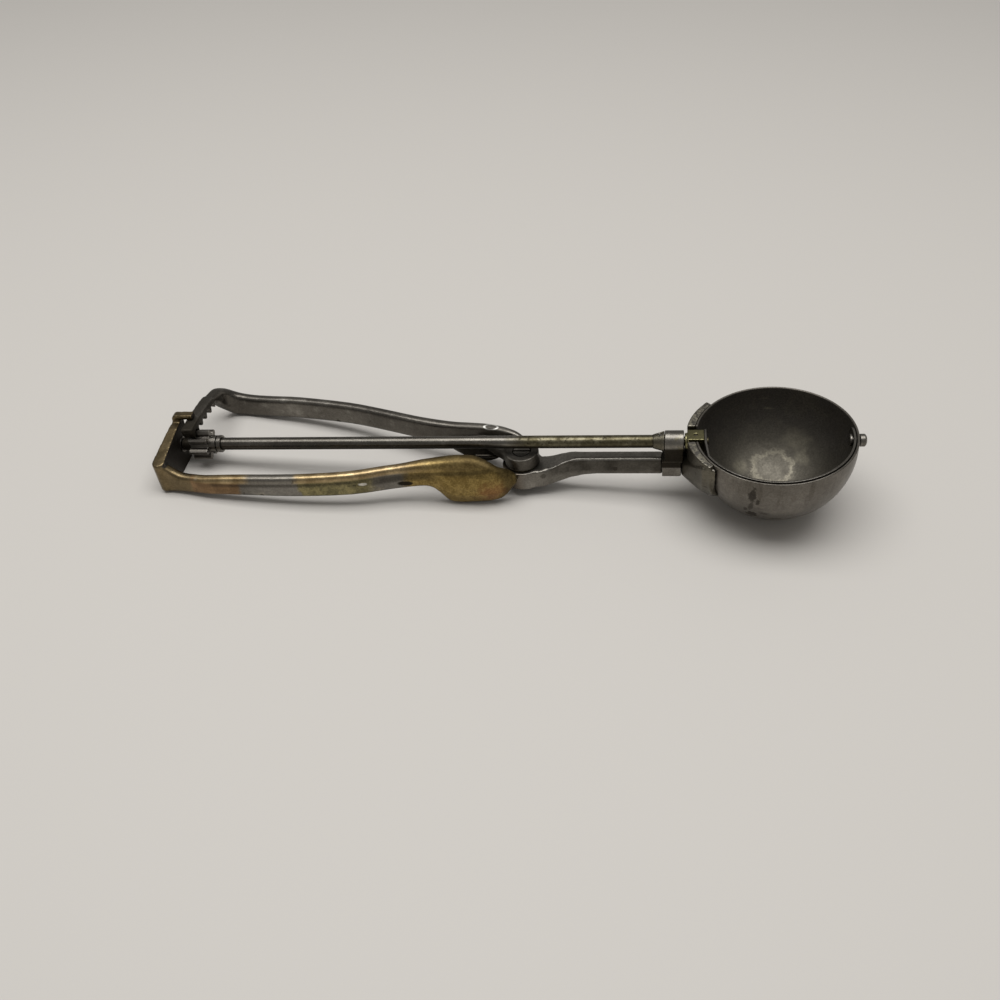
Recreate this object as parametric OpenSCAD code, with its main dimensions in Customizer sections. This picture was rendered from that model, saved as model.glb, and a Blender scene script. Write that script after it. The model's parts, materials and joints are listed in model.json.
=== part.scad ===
// Squeeze-handle ice cream scoop with a rack and pinion scraper, in millimetres.
// Every piece is drawn in a construction frame: the rod runs along X, the centre of the
// bowl is at zero and the pivot stands along Z. placed() then tips the whole scoop back
// by the few degrees at which it lies on a table, on its bowl and the ends of its grips.

/* [Bowl] */
// Outer radius of the half ball
bowl_r = 28.5; // [27.5:0.5:31]
// Wall of the bowl
bowl_wall = 0.8; // [0.7:0.1:1.2]
// Height of the straight lip above the rod axis
lip_h = 3.4; // [3:0.1:4.6]
// Thickness of the saddle in the middle of the back of the bowl
saddle_t = 3.1; // [2.6:0.1:3.6]
// Thickness of the saddle at the ends of its arms
saddle_end = 2.3; // [1.6:0.1:2.5]
// Half of the angle that the saddle reaches round the bowl
saddle_half = 39; // [32:1:46]

/* [Scraper] */
// Width of the scraper band
band_w = 6.4; // [5:0.2:7]
// Thickness of the scraper band
band_t = 0.8; // [0.7:0.1:1]
// Gap between the band and the inside of the bowl
band_gap = 0.35; // [0.3:0.05:0.5]
// Angle above level at which the band is parked
band_rise = 1; // [0:0.5:2]
// Side of the square hub that carries the band
hub_side = 6; // [5.4:0.2:6.4]

/* [Rod and rack drive] */
// Diameter of the drive rod
rod_d = 4.8; // [4.4:0.1:5.2]
// Diameter of the turned-down ends of the rod
journal_d = 3.4; // [3:0.1:3.8]
// Tooth module of the rack and pinion
tooth_m = 1.3; // [1.2:0.05:1.35]
// Teeth on the pinion
pinion_teeth = 7; // [7:1:8]
// Length of the toothed part of the pinion
pinion_l = 7.2; // [6.4:0.2:8]
// Distance from the pivot to the middle of the rack
rack_r = 128.9; // [122:0.1:136]
// Width of the rack
rack_w = 4.6; // [4:0.1:5.4]
// Solid height of the rack arm above its teeth
rack_back = 2.5; // [1.8:0.1:2.8]
// Tooth gaps in the rack
rack_gaps = 5; // [5:1:6]

/* [Grips] */
// Distance from the bowl centre to the pivot
pivot_x = 92.3; // [88:0.1:98]
// Depth of the grips below the rod axis
grip_drop = 8.7; // [8:0.1:9.4]
// Thickness of the grips
grip_t = 4.2; // [3.6:0.1:4.8]
// Offset of the fixed grip from the rod at its widest
near_spread = 19.3; // [18:0.1:22]
// Offset of the lever grip from the rod at its widest
far_spread = 31; // [29:0.5:34]
// Thickness of the end plate that carries the back of the rod
plate_t = 3.2; // [2.8:0.1:4]

/* [Pivot] */
// Radius of the eye of the lever
eye_r = 6.5; // [6.2:0.1:6.8]
// Thickness of the eye of the lever
eye_h = 5.1; // [4.6:0.1:5.4]
// Radius of the pivot hub on the shank
hub_r = 7.7; // [7.5:0.1:8.1]
// Height of the pivot hub
hub_h = 7.6; // [7.4:0.1:8]
// Diameter of the pivot screw
screw_d = 4.6; // [4.2:0.1:5]
// Wire of the return spring
wire_d = 1.2; // [0.9:0.1:1.3]

/* [Neck and shank] */
// Length of the neck along the rod
neck_l = 6.9; // [6:0.1:8]
// Outer radius of the front bearing
bearing_r = 4; // [3.8:0.1:4.4]
// Width of the straight part of the shank
shank_w = 5; // [4.4:0.1:5.6]
// Depth of the straight part of the shank
shank_h = 7.2; // [6.6:0.1:7.8]

/* [Hidden] */
$fn = 96;

// Clearances
run_gap = 0.06;    // between a shaft and its bore
seam = 0.03;       // solder film between two brazed pieces
part_gap = 0.3;    // between pieces that move past each other
eps = 0.2;         // overlap of cuts and unions

// Drive geometry
pitch_r = tooth_m * pinion_teeth / 2;
shift = 0.5;       // profile shift of the pinion, in modules
rack_tip_z = pitch_r + (shift - 0.9) * tooth_m;
pinion_tip_r = pitch_r + (shift + 0.55) * tooth_m;
pinion_root_r = rack_tip_z - 0.3;
rack_root_z = pinion_tip_r + 0.3;
rack_top_z = rack_root_z + rack_back;
backlash = 0.3;
pressure = 20;
pinion_turn = 11;   // turn of one tooth past upright, in mesh with the rack
rack_pitch = PI * tooth_m / rack_r * 180 / PI;
rack_start = pinion_turn * pitch_r / rack_r;   // angle of the tooth gap over the rod
rack_end = rack_start + (rack_gaps - 0.5) * rack_pitch;
rod_r = rod_d / 2;
journal_r = journal_d / 2;
cross_pin_r = 0.7;

// Places along the rod, all behind the bowl centre
bowl_in = bowl_r - bowl_wall;
band_out = bowl_in - band_gap;
band_in = band_out - band_t;
hub_front = band_in - 1.45;
hub_back = hub_front + hub_side;
neck_front = hub_back + 1.2;
neck_back = neck_front + neck_l;
cone_l = 4.2;
rack_out = rack_r + rack_w / 2;
rack_in = rack_r - rack_w / 2;
plate_in = pivot_x + rack_out + 2.4;
plate_out = plate_in + plate_t;
pinion_back = pivot_x + rack_out - 2.3;
pinion_front = pinion_back - pinion_l;
collar_l = 2.4;
collar_r = rod_r + 0.95;
ring_l = 2;

// Heights round the pivot, all below the rod axis
eye_top = rod_r + 1.6;
eye_bot = eye_top + eye_h;
washer_t = 0.3;
hub_top = eye_bot + washer_t + 0.1;
hub_bot = hub_top + hub_h;
spring_turns = 2.5;
spring_h = (spring_turns + 1) * (wire_d + 0.05);
spring_top = hub_top + 2;
spring_bot = spring_top + spring_h + 0.1;
nut_top = hub_bot;
nut_h = 2.2;
nut_af = 8;
screw_r = screw_d / 2;
screw_head_r = screw_r + 0.8;
screw_head_h = 1.5;
coil_r = hub_r - 3.3;

// Neck and shank
stem_bot = 13.2;
foot_half = bearing_r + 0.5;
foot_shift = 1;    // the socket of the shank stands this far behind the bearing
foot_back = neck_back + foot_shift;
shank_top = 6.4;
shank_mid = shank_top + shank_h / 2;
neck_bot = shank_top + shank_h;
tenon_l = 4.5;
flare_start = neck_back + 27;

// End plate and its tab
tab_y = 3.4;
tab_w = 3.3;
tab_t = 2;
corner_y = near_spread - 2.1;
corner_r = 2.5;

// Scraper
tab_reach = 2.4;
pin_r = 1.5;
head_r = 2.3;

// The scoop lies on its bowl and on the bottom back corners of both grips. n is the
// upright of the table, seen in the construction frame.
near_foot = [-plate_out + 0.6, -corner_y, -grip_drop];
far_foot = [-pivot_x - rack_in + 7.6, far_spread + 0.4, -grip_drop];
between = (far_foot - near_foot) / norm(far_foot - near_foot);
square_to = near_foot - (near_foot * between) * between;
foot_dir = square_to / norm(square_to);
lean = bowl_r / norm(square_to);
n = sqrt(1 - lean * lean) * cross(between, foot_dir) - lean * foot_dir;
roll = atan2(n[1], n[2]);
pitch = -atan2(n[0], norm([n[1], n[2]]));

module placed() {
    translate([0, 0, bowl_r]) rotate([roll, pitch, 0]) children();
}

// A straight round piece along the rod from x = -back to x = -front
module along_rod(back, front, r, r2 = -1) {
    translate([-back, 0, 0]) rotate([0, 90, 0])
        cylinder(h = back - front, r1 = r, r2 = r2 < 0 ? r : r2);
}

// A round piece on the pivot, between two depths below the rod
module on_pivot(top, bottom, r) {
    translate([-pivot_x, 0, -bottom]) cylinder(h = bottom - top, r = r);
}

// ---- Lofted bars -------------------------------------------------------------------
// A grip is swept through stations [behind pivot, side, top, bottom, thickness, bulge].
// Its section is a flat bar with rounded edges, bowed outwards where it has a bulge.

function spline(a, b, c, d, t) =
    0.5 * (2 * b + (c - a) * t + (2 * a - 5 * b + 4 * c - d) * t * t
           + (3 * b - a - 3 * c + d) * t * t * t);

function smooth_rows(rows, steps) = [
    for (i = [0 : len(rows) - 2], k = [0 : steps - 1])
        spline(rows[max(i - 1, 0)], rows[i], rows[i + 1], rows[min(i + 2, len(rows) - 1)],
               k / steps),
    rows[len(rows) - 1]
];

function heading(rows, i) =
    let (a = rows[max(i - 1, 0)], b = rows[min(i + 1, len(rows) - 1)])
    atan2(b[1] - a[1], a[0] - b[0]);

// Outline of one section as [sideways, height] pairs, counter-clockwise from behind
function bar_section(top, bottom, thick, bulge) =
    let (h = (top - bottom) / 2, mid = (top + bottom) / 2, w = thick / 2,
         r = min(w, h) * 0.84, e = (h - r) * 0.5,
         raw = concat(
             [for (a = [0 : 30 : 90]) [w - r + r * cos(a), h - r + r * sin(a)]],
             [for (a = [90 : 30 : 180]) [r - w + r * cos(a), h - r + r * sin(a)]],
             [for (v = [1 : -1 : -1]) [-w, v * e]],
             [for (a = [180 : 30 : 270]) [r - w + r * cos(a), r - h + r * sin(a)]],
             [for (a = [270 : 30 : 360]) [w - r + r * cos(a), r - h + r * sin(a)]],
             [for (v = [-1 : 1]) [w, v * e]]))
    [for (p = raw) [p[0] + bulge * (1 - pow(p[1] / h, 2)), mid + p[1]]];

module bar_loft(stations, steps) {
    rows = smooth_rows(stations, steps);
    n = len(bar_section(1, 0, 1, 0));
    points = [for (i = [0 : len(rows) - 1])
        let (s = rows[i], turn = heading(rows, i))
        for (p = bar_section(s[2], s[3], s[4], s[5]))
            [-pivot_x - s[0] - p[0] * sin(turn), s[1] + p[0] * cos(turn), p[1]]];
    sides = [for (i = [0 : len(rows) - 2], j = [0 : n - 1])
        let (a = i * n + j, b = i * n + (j + 1) % n)
        each [[a, a + n, b], [b, a + n, b + n]]];
    first = [for (j = [1 : n]) j % n];
    last = [for (j = [n + 1 : -1 : 2]) (len(rows) - 1) * n + j % n];
    polyhedron(points = points, faces = concat(sides, [first], [last]), convexity = 8);
}

// ---- Bowl, saddle and neck ---------------------------------------------------------

// A ball below the rod axis with a straight lip above it
module cup_shape(r, rise) {
    rotate_extrude() union() {
        intersection() {
            circle(r = r);
            translate([0, -r]) square([r, r]);
        }
        square([r, rise]);
    }
}

// The open slot in which the scraper hub turns, through bowl and saddle
module hub_slot() {
    slot_r = hub_side * 0.75;
    translate([-bowl_r - saddle_t - 1, 0, 0]) rotate([0, 90, 0]) cylinder(h = bowl_r, r = slot_r);
    translate([-bowl_r - saddle_t - 1, -slot_r, 0]) cube([bowl_r, 2 * slot_r, lip_h + 1]);
}

module bowl() {
    color("#6d6862") placed() difference() {
        cup_shape(bowl_r, lip_h);
        cup_shape(bowl_in, lip_h + eps);
        hub_slot();
        along_rod(-bowl_in + 2, -bowl_r - 1, pin_r);
    }
}

module saddle() {
    reach = bowl_r + saddle_t;
    // The outside is a ball of its own, set back so that the arms taper to their ends
    back_set = (saddle_t - saddle_end) / (1 - cos(saddle_half));
    color("#625d56") placed() difference() {
        union() {
            intersection() {
                translate([-back_set, 0, 0]) cup_shape(reach - back_set, lip_h);
                rotate([0, 0, 180 - saddle_half]) rotate_extrude(angle = 2 * saddle_half)
                    translate([bowl_r / 2, -reach]) square([reach, 2 * reach]);
                translate([-reach - 1, 0, lip_h - 0.4]) rotate([0, 90, 0])
                    cylinder(h = reach, r = reach * 0.7);
            }
            saddle_flank();
        }
        cup_shape(bowl_r + seam, lip_h + eps);
        hub_slot();
    }
}

// Flank that widens from the neck to the bowl
module saddle_flank() {
    stem_half = bearing_r - 0.4;
    stem_x = -neck_front + seam;
    flank_x = -bowl_r + 2.3;
    flank_bot = stem_bot - 0.5;
    hull() {
        translate([stem_x - foot_shift, -stem_half, -flank_bot])
            cube([foot_shift, 2 * stem_half, flank_bot - shank_top - 1.2]);
        translate([stem_x - 0.3, -stem_half, -flank_bot])
            cube([1.8, 2 * stem_half, flank_bot - shank_top]);
        intersection() {
            translate([flank_x, 0, 0]) rotate([0, 90, 0])
                cylinder(h = 4.5, r1 = bowl_r * 0.64, r2 = bowl_r * 0.69);
            translate([-bowl_r, -bowl_r, -bowl_r]) cube([bowl_r, 2 * bowl_r, bowl_r + lip_h - 1.4]);
        }
    }
}

// Block behind the saddle: the rod's front bearing above, the socket of the shank below
module neck() {
    tenon_room = [tenon_l + seam, shank_w - 2 + 2 * seam, shank_h - 2 + 2 * seam];
    color("#5b564f") placed() difference() {
        union() {
            along_rod(neck_back, neck_front, bearing_r);
            translate([0, bearing_r, 0]) rotate([90, 0, 0]) linear_extrude(height = 2 * bearing_r)
                polygon([[-neck_back, 0], [-neck_front - 0.3, 0], [-neck_front - 0.3, -shank_top],
                         [-neck_front - foot_shift, -shank_top - 0.4],
                         [-neck_back, -shank_top - 0.4]]);
            intersection() {
                translate([0, foot_half, 0]) rotate([90, 0, 0]) linear_extrude(height = 2 * foot_half)
                    polygon([[-foot_back, -shank_top], [-neck_front - 0.3, -shank_top],
                             [-neck_front - foot_shift, -shank_top - 0.5],
                             [-neck_front - foot_shift, 1 - neck_bot],
                             [-neck_front - foot_shift - 0.8, -neck_bot], [-foot_back, -neck_bot]]);
                translate([-foot_back, 0, 0]) rotate([90, 0, 90]) linear_extrude(height = neck_l + 1)
                    polygon([[-foot_half, -shank_top], [-foot_half, 0.8 - neck_bot],
                             [0.8 - foot_half, -neck_bot], [foot_half - 0.8, -neck_bot],
                             [foot_half, 0.8 - neck_bot], [foot_half, -shank_top]]);
            }
        }
        along_rod(neck_back + 1, neck_front - 1, rod_r + run_gap);
        translate([-foot_back - eps, -tenon_room[1] / 2, -shank_mid - tenon_room[2] / 2])
            cube([tenon_room[0] + eps, tenon_room[1], tenon_room[2]]);
    }
}

// ---- Shank with the pivot hub ------------------------------------------------------

// Smooth step from one point to another
function ease(a, b, t) = [a[0] + (b[0] - a[0]) * t, a[1] + (b[1] - a[1]) * (3 - 2 * t) * t * t];

// Side outline of the shank: straight below the rod, then stepping down to the hub
function shank_side() = [
    [-foot_back, -shank_top],
    for (t = [0 : 0.2 : 1])
        ease([-flare_start - 6, -shank_top], [eye_r + part_gap + 0.1 - pivot_x, -hub_top], t),
    [-pivot_x - hub_r - 1, -hub_top], [-pivot_x - hub_r - 1, -hub_bot],
    for (t = [0 : 0.2 : 1]) ease([4 - pivot_x, -hub_bot], [2 - flare_start, -shank_top - shank_h], t),
    [-foot_back, -shank_top - shank_h]
];

// Side edge of the shank seen from above, ending the given distance off its centre line
function shank_edge(end_x, end_y) = concat(
    [[-foot_back, shank_w / 2]],
    [for (t = [0 : 0.2 : 1]) ease([-flare_start - 4, shank_w / 2], [end_x, end_y], t)]);

module shank() {
    // The side of the fixed grip flares into the hub, the lever's side stays straight
    grip_edge = shank_edge(4 - pivot_x, hub_r - 1.2);
    lever_edge = shank_edge(5.5 - pivot_x, shank_w / 2 + 0.9);
    color("#5f5a53") placed() difference() {
        union() {
            intersection() {
                translate([0, hub_r + 1, 0]) rotate([90, 0, 0])
                    linear_extrude(height = 2 * hub_r + 2) polygon(shank_side());
                translate([0, 0, -hub_bot - 1]) linear_extrude(height = hub_bot) union() {
                    translate([-pivot_x, 0]) circle(r = hub_r);
                    polygon(concat(lever_edge, [for (i = [len(grip_edge) - 1 : -1 : 0])
                                                [grip_edge[i][0], -grip_edge[i][1]]]));
                }
            }
            translate([-foot_back - eps, 1 - shank_w / 2, -shank_mid - shank_h / 2 + 1])
                cube([tenon_l + eps, shank_w - 2, shank_h - 2]);
        }
        on_pivot(hub_top - 1, hub_bot + 1, screw_r + run_gap);
        // Spring chamber, open towards the grips
        on_pivot(spring_top, spring_bot, coil_r + wire_d / 2 + 0.4);
        translate([-pivot_x - hub_r - 1, -coil_r - 2, -spring_bot])
            cube([hub_r + 1, 2 * coil_r + 4, spring_bot - spring_top]);
    }
}

// ---- Grips -------------------------------------------------------------------------

// The fixed grip, from its back corner to the leaf beside the pivot
module fixed_grip() {
    back = plate_in + 1.4 - pivot_x;
    drop = -grip_drop;
    mid = -near_spread;
    leaf = -hub_bot - 1.4;
    stations = [
        [back, -corner_y, 4.4, drop, grip_t - 0.2, 0],
        [back - 2, -corner_y, 2.8, drop, grip_t - 0.1, 0],
        [back - 4, -corner_y - 0.1, 1, drop, grip_t, 0],
        [back - 7, -corner_y - 0.4, -0.6, drop, grip_t, 0],
        [back - 11, mid + 1.2, -0.9, drop, grip_t, 0],
        [back - 16, mid + 0.5, -0.8, drop, grip_t, 0],
        [back - 23, mid + 0.2, -0.4, drop, grip_t, 0],
        [104, mid, -0.1, drop - 0.1, grip_t, 0],
        [84, mid, 0, drop - 0.7, grip_t, 0],
        [63, mid + 1.7, 0, drop - 1.3, grip_t, 0],
        [48, mid + 5.2, 0, drop - 1.5, grip_t, 0],
        [38, mid + 6.6, 0, drop - 1.2, grip_t, 0],
        [33, -12.5, 0, drop - 1.7, 4, -0.3],
        [29.8, -12.4, 0, drop - 4.8, 3.7, -0.8],
        [27, -12.3, 0, leaf + 1.3, 3.4, -1.5],
        [23.5, -12.1, 0, leaf + 0.1, 3.2, -1.9],
        [18, -11.8, -0.3, leaf, 3, -2.2],
        [12, -11.2, -1.7, leaf, 3, -2.1],
        [8, -10.2, -3.8, leaf + 0.5, 3.4, -1.4],
        [4.5, -8.7, -6.6, leaf + 3.2, 4.8, -0.4],
        [1.4, -8.7, -9.1, leaf + 6.6, 3.2, 0]];
    color("#a98244") placed() difference() {
        union() {
            bar_loft(stations, 3);
            end_plate();
        }
        on_pivot(hub_top - 6, hub_bot + 2, hub_r + seam);
        along_rod(plate_out + 1, plate_in - 1, journal_r + run_gap);
    }
}

// Plate across the back with the rod's rear bearing, and the tab that hooks over the rack
module end_plate() {
    far = tab_y + tab_w;
    near_x = plate_out + 1.6 - corner_r;
    intersection() {
        translate([0, 0, -grip_drop]) union() {
            linear_extrude(height = grip_drop + rack_top_z)
                polygon([[-plate_in, far], [-plate_out, far], [-near_x - corner_r, -corner_y],
                         [-plate_in, -corner_y]]);
            translate([-near_x, -corner_y, 1.4]) cylinder(h = grip_drop + rack_top_z, r = corner_r);
            translate([-near_x, -corner_y, 0]) cylinder(h = 1.4, r1 = corner_r - 1.2, r2 = corner_r);
        }
        translate([-plate_out - 4, 0, 0]) rotate([90, 0, 90]) linear_extrude(height = plate_t + 6)
            polygon([[-corner_y - 4, -grip_drop - 1], [far - 3, -grip_drop - 1],
                     [far + 1, 3 - grip_drop], [far + 1, rack_top_z - 0.4], [0, rack_top_z - 0.7],
                     [-corner_y / 2, rack_top_z - 2.1], [-corner_y - 4, rack_top_z - 4.4]]);
    }
    tab_top = rack_top_z + part_gap + tab_t;
    round_r = 1.8;
    translate([0, far, 0]) rotate([90, 0, 0]) linear_extrude(height = tab_w) union() {
        translate([-plate_out, rack_top_z - 2]) square([plate_t, tab_top - rack_top_z + 2 - round_r]);
        translate([-plate_out + round_r, tab_top - round_r]) circle(r = round_r);
        translate([-plate_out + round_r, tab_top - round_r]) square([plate_t - round_r, round_r]);
        translate([-plate_out + round_r, tab_top - tab_t])
            square([plate_out - pivot_x - rack_in - round_r - 1.6, tab_t]);
    }
}

// The lever: rack arm, corner, bar, leaf beside the pivot, and the eye
module lever_grip() {
    drop = -grip_drop;
    out = far_spread;
    reach = rack_r * cos(rack_end);
    side = rack_r * sin(rack_end);
    stations = [
        [rack_r * cos(rack_end - 0.9), rack_r * sin(rack_end - 0.9), rack_top_z - 0.15,
         rack_root_z + 0.5, rack_w - 0.4, 0],
        [reach + 0.1, side + 0.3, rack_top_z - 0.15, rack_root_z - 0.7, rack_w - 0.3, 0],
        [reach - 0.2, side + 3.8, rack_top_z - 0.5, 2, rack_w, 0],
        [reach - 0.7, side + 7.4, rack_top_z - 1.4, -2.9, rack_w, 0],
        [reach - 2.9, out - 1.4, rack_top_z - 3.8, -7, rack_w - 0.2, 0],
        [reach - 7, out, 1.6, drop + 0.2, grip_t, 0],
        [reach - 13, out - 0.3, 0.5, drop - 0.1, grip_t, 0],
        [reach - 22, out - 1.2, 0.4, drop - 0.1, grip_t, 0],
        [93.7, out - 2.4, 0.5, drop - 0.1, grip_t, 0],
        [72.7, out - 6.2, 0.4, drop - 0.1, grip_t, 0],
        [57.7, out - 10.6, 0.3, drop - 0.2, grip_t, 0],
        [43.7, out - 15.2, 0.2, drop - 0.4, grip_t, 0],
        [34, 13.2, 0.1, drop - 0.8, grip_t + 0.2, 0.2],
        [27, 11.8, 0, -13.2, 4.4, 0.9],
        [21, 11.1, 0, -16.8, 4.4, 1.7],
        [15.5, 10.7, -0.2, -17.2, 4.2, 2],
        [10.5, 10.2, -0.7, -15.2, 4, 1.5],
        [6.5, 9.4, -1.3, -10.8, 3.6, 0.8],
        [2.6, 8.2, -2.2, -eye_bot + 0.9, 3, 0.3],
        [-1.4, 5.9, -4.3, -eye_bot + 1.2, 2.4, 0]];
    color("#6a665f") placed() difference() {
        union() {
            bar_loft(stations, 3);
            rack_arm();
            on_pivot(eye_top, eye_bot, eye_r);
            lever_web();
        }
        on_pivot(eye_top - 1, eye_bot + 1, screw_r + run_gap);
        on_pivot(eye_top - 1, eye_top + screw_head_h + 0.05, screw_head_r + 0.35);
    }
}

// Web from the eye out to the leaf of the lever, passing under the rod
module lever_web() {
    translate([-pivot_x, 0, -eye_bot + 0.5]) linear_extrude(height = eye_h - 1.1)
        polygon([[3.4, -3.6], [4.6, 3.8], [0, 8.4], [-7, 9.9], [-20, 11.4], [-19, 10.2], [-5, -2.4]]);
}

// Curved rack: a ring sector about the pivot, with teeth on its underside
module rack_arm() {
    tip_half = PI * tooth_m / 4 - backlash / 4 - 0.9 * tooth_m * tan(pressure);
    tip_gap = PI * tooth_m / 2 - tip_half;
    root_gap = tip_gap - (rack_root_z - rack_tip_z) * tan(pressure);
    first = rack_start - 0.85 * rack_pitch;
    difference() {
        translate([-pivot_x, 0, rack_tip_z]) rotate([0, 0, 180 - rack_end])
            rotate_extrude(angle = rack_end - first)
                translate([rack_in, 0]) square([rack_w, rack_top_z - rack_tip_z]);
        for (i = [-1 : rack_gaps - 1])
            translate([-pivot_x, 0, 0]) rotate([0, 0, -rack_start - i * rack_pitch])
                translate([-rack_out - 2, 0, 0]) rotate([90, 0, 90])
                    linear_extrude(height = rack_w + 4)
                        polygon([[-tip_gap, rack_tip_z], [-tip_gap, rack_tip_z - 1],
                                 [tip_gap, rack_tip_z - 1], [tip_gap, rack_tip_z],
                                 [root_gap, rack_root_z], [-root_gap, rack_root_z]]);
    }
}

// ---- Pivot -------------------------------------------------------------------------

module pivot_screw() {
    color("#77716a") placed() difference() {
        union() {
            on_pivot(eye_top + 0.2, eye_top + screw_head_h, screw_head_r);
            on_pivot(eye_top + 0.5, nut_top + nut_h + 0.3, screw_r);
        }
        translate([-pivot_x - 5, -0.5, -eye_top - 0.9]) cube([10, 1, 2]);
    }
}

module pivot_nut() {
    color("#6b655d") placed() difference() {
        translate([-pivot_x, 0, -nut_top - nut_h]) cylinder(h = nut_h - seam, r = nut_af / sqrt(3), $fn = 6);
        on_pivot(nut_top - 1, nut_top + nut_h + 1, screw_r + seam);
    }
}

module pivot_washer() {
    color("#9a7b45") placed() difference() {
        on_pivot(eye_bot + 0.05, eye_bot + 0.05 + washer_t, eye_r - 0.6);
        on_pivot(eye_bot - 1, eye_bot + 2, screw_r + run_gap);
    }
}

// Torsion spring: a coil round the screw with one leg along each grip
module return_spring() {
    z0 = -spring_bot + wire_d / 2 + 0.05;
    rise = spring_h - wire_d;
    total = spring_turns * 360;
    low_a = 250;
    coil = [for (a = [0 : 20 : total]) [coil_r * cos(low_a + a), coil_r * sin(low_a + a),
                                        z0 + rise * a / total]];
    leg_end = -2.5 * hub_r;
    leg_bend = -hub_r - 2 * wire_d;
    low_leg = [[leg_end, -hub_r - 2.9, z0], [leg_bend, 0.7 - hub_r, z0]];
    high_leg = [[leg_bend, hub_r - 1.1, z0 + rise], [leg_end, hub_r - 0.8, z0 + rise]];
    path = concat(low_leg, coil, high_leg);
    color("#8a8680") placed() translate([-pivot_x, 0, 0]) wire_sweep(path, wire_d / 2);
}

// Round wire through a list of points
module wire_sweep(path, r) {
    n = 8;
    count = len(path);
    points = [for (i = [0 : count - 1])
        let (d = path[min(i + 1, count - 1)] - path[max(i - 1, 0)],
             t = d / norm(d), u0 = cross(t, [0, 0, 1]), u = u0 / norm(u0), v = cross(u, t))
        for (k = [0 : n - 1]) path[i] + r * (cos(360 * k / n) * u + sin(360 * k / n) * v)];
    sides = [for (i = [0 : count - 2], k = [0 : n - 1])
        let (a = i * n + k, b = i * n + (k + 1) % n)
        each [[a, b, a + n], [b, b + n, a + n]]];
    polyhedron(points = points, faces = concat(sides, [[for (k = [n - 1 : -1 : 0]) k]],
        [[for (k = [0 : n - 1]) (count - 1) * n + k]]), convexity = 8);
}

// ---- Drive -------------------------------------------------------------------------

module drive_rod() {
    color("#7d766c") placed() difference() {
        union() {
            along_rod(plate_out, plate_in - 1, journal_r);
            along_rod(plate_in - 0.45, neck_front, rod_r);
            along_rod(neck_front + eps, hub_front, journal_r);
            along_rod(hub_front + eps, hub_front - band_t - 0.8, tail_r);
        }
        cross_pin(pinion_front - collar_l / 2, cross_pin_r, rod_d);
        cross_pin(neck_back + 0.1 + cone_l / 3, cross_pin_r, rod_d);
        rotate([-band_rise, 0, 0]) cross_pin(hub_back - hub_side / 2, cross_pin_r, rod_d);
    }
}
tail_r = journal_r * 0.8;

// A round pin straight through the rod
module cross_pin(back, r, half) {
    translate([-back, 0, -half]) cylinder(h = 2 * half, r = r);
}

// Involute flank: point at radius r on the flank of a tooth centred on angle zero
function involute(r, base) = let (p = acos(min(1, base / r))) tan(p) * 180 / PI - p;
function flank(r, base, half) = let (a = half - involute(r, base)) [r * cos(a), r * sin(a)];

module pinion() {
    base = pitch_r * cos(pressure);
    thick = tooth_m * (PI / 2 + 2 * shift * tan(pressure)) - backlash / 2;
    half = thick / pitch_r / 2 * 180 / PI + involute(pitch_r, base);
    low = max(base, pinion_root_r);
    up = [for (k = [0 : 4]) flank(low + (pinion_tip_r - low) * k / 4, base, half)];
    root = [pinion_root_r * cos(half), pinion_root_r * sin(half)];
    tooth = concat([[root[0], -root[1]]], [for (p = up) [p[0], -p[1]]],
                   [for (k = [4 : -1 : 0]) up[k]], [root]);
    outline = [for (i = [0 : pinion_teeth - 1], p = tooth)
        let (a = 360 * i / pinion_teeth + 90 - pinion_turn)
        [p[0] * cos(a) - p[1] * sin(a), p[0] * sin(a) + p[1] * cos(a)]];
    color("#67625b") placed() difference() {
        union() {
            translate([-pinion_back, 0, 0]) rotate([90, 0, 90])
                linear_extrude(height = pinion_l) polygon(outline);
            along_rod(pinion_front + eps, pinion_front - collar_l, collar_r);
        }
        along_rod(pinion_back + 1, pinion_front - collar_l - 1, rod_r + seam / 2);
        cross_pin(pinion_front - collar_l / 2, cross_pin_r, collar_r + 1);
    }
}

module pinion_pin() {
    color("#827c74") placed()
        cross_pin(pinion_front - collar_l / 2, cross_pin_r - seam, collar_r - 0.1);
}

// Ring in front of the pinion's hub, with a shallow waist between them
module rear_collar() {
    back = pinion_front - collar_l - seam;
    color("#67625b") placed() difference() {
        union() {
            along_rod(back, back - 0.5, collar_r - 0.4);
            along_rod(back - 0.45, back - ring_l, collar_r);
        }
        along_rod(back + 1, back - ring_l - 1, rod_r + seam / 2);
    }
}

// Thin washer between the shoulder of the rod and the end plate
module thrust_washer() {
    color("#8c7448") placed() difference() {
        along_rod(plate_in - 0.06, plate_in - 0.38, rod_r + 0.7);
        along_rod(plate_in + 1, plate_in - 2, journal_r + run_gap);
    }
}

module front_collar() {
    color("#6c665b") placed() difference() {
        along_rod(neck_back + 0.1 + cone_l, neck_back + 0.1, rod_r + 0.15, bearing_r - 0.2);
        along_rod(neck_back + cone_l + 2, neck_back - 1, rod_r + seam / 2);
        cross_pin(neck_back + 0.1 + cone_l / 3, cross_pin_r, bearing_r + 1);
    }
}

module front_collar_pin() {
    color("#5f5950") placed()
        cross_pin(neck_back + 0.1 + cone_l / 3, cross_pin_r - seam, rod_r + 0.7);
}

// ---- Scraper -----------------------------------------------------------------------

module scraper_hub() {
    s = hub_side / 2;
    color("#8a8457") placed() rotate([-band_rise, 0, 0]) difference() {
        union() {
            translate([-hub_back, -s, -s]) cube([hub_side, hub_side, hub_side]);
            // Round boss that runs against the neck
            along_rod(neck_front - part_gap, hub_back - eps, s);
        }
        along_rod(neck_front + 1, hub_front - 1, journal_r + seam / 2);
        cross_pin(hub_back - hub_side / 2, cross_pin_r, s + 1);
    }
}

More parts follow.
